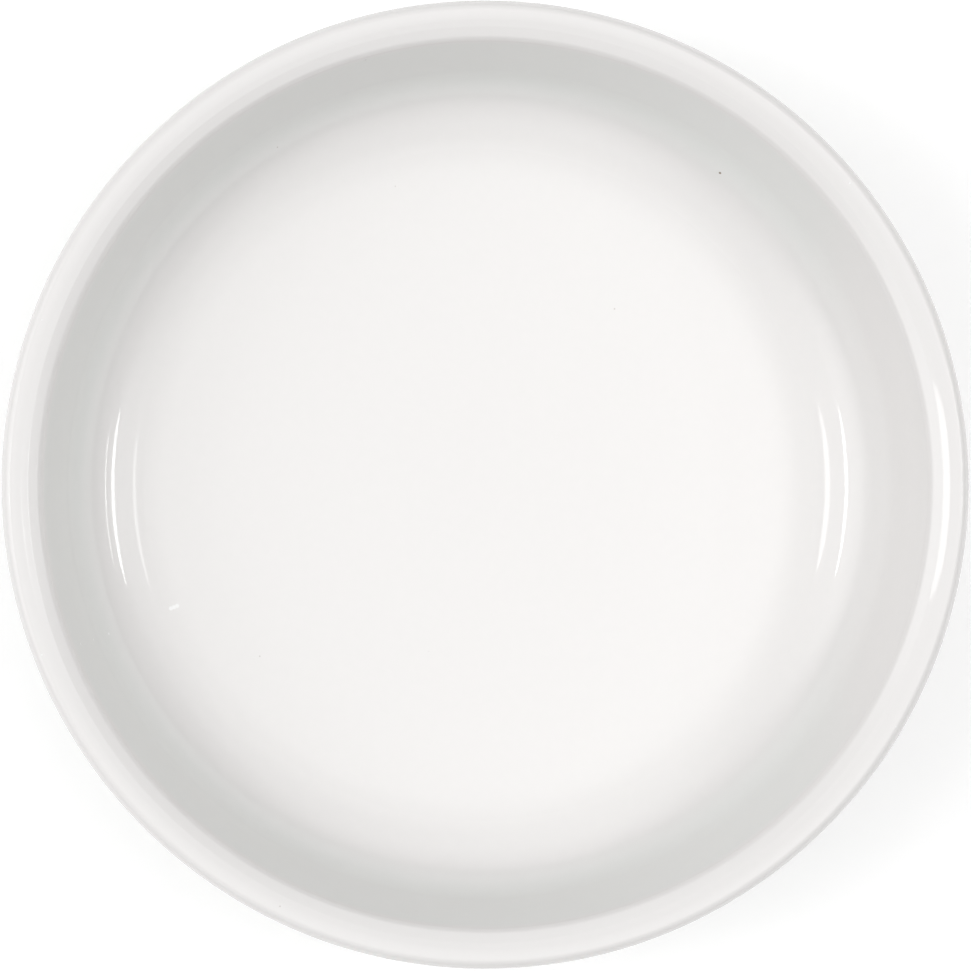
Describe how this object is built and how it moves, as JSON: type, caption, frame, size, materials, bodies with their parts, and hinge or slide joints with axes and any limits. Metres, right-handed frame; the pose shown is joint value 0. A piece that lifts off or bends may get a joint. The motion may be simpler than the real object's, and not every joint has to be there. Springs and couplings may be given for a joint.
{
  "type": "soy sauce dish",
  "caption": "Small round white glazed porcelain dish with a shallow well, steep wall, broad crowned lip and a foot ring, for soy sauce or dips.",
  "frame": {"origin": "centre of the foot ring's standing face, on the table", "axes": "+Z up along the dish's axis, out of the well; +X to the right and +Y up in the reference view from straight above"},
  "size_m": [0.09, 0.09, 0.02],
  "materials": {
    "bare_porcelain": "fired bare porcelain, fine matt grain",
    "white_glaze": "clear glossy glaze over white porcelain"
  },
  "bodies": {
    "root": {"porcelain_body": "bare_porcelain", "glaze_coat": "white_glaze", "base_glaze": "white_glaze"}
  },
  "joints": []
}
